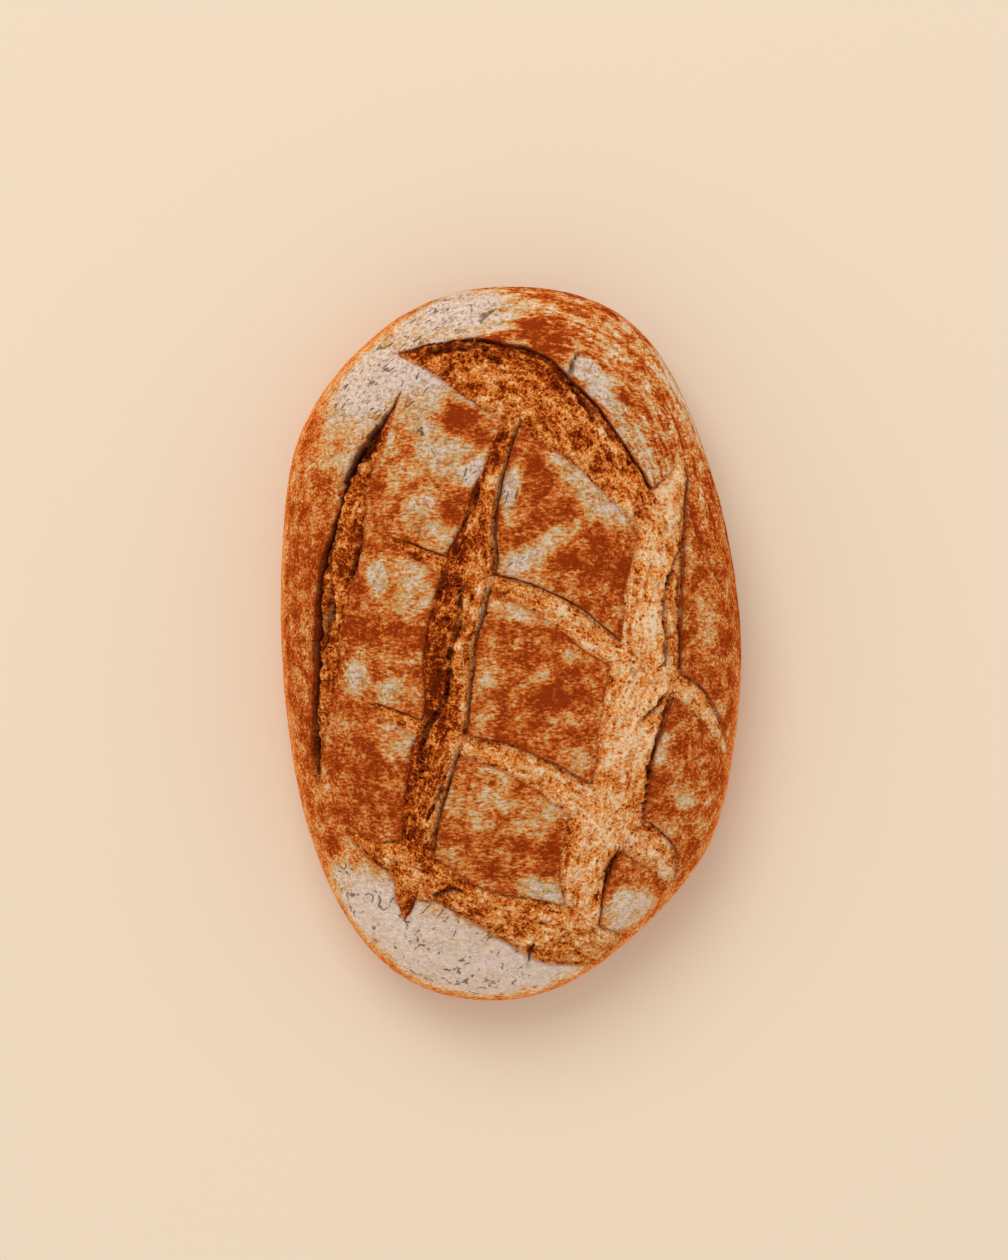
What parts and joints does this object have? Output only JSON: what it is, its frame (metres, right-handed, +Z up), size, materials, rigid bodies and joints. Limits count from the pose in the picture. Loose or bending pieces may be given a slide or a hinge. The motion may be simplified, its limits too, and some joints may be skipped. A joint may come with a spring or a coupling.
{
  "type": "whole grain bread loaf",
  "caption": "Oval hearth loaf of whole grain bread with crossed scores torn open, lifted crust lips and a flat sole.",
  "frame": {"origin": "middle of the flat sole, under the centre of the loaf's box", "axes": "+Y along the loaf's length, +X across its width, +Z up through the crown"},
  "size_m": [0.1936, 0.3, 0.0902],
  "materials": {
    "crust": "matt baked crust dusted with flour"
  },
  "bodies": {
    "root": {"loaf": "crust"}
  },
  "joints": []
}
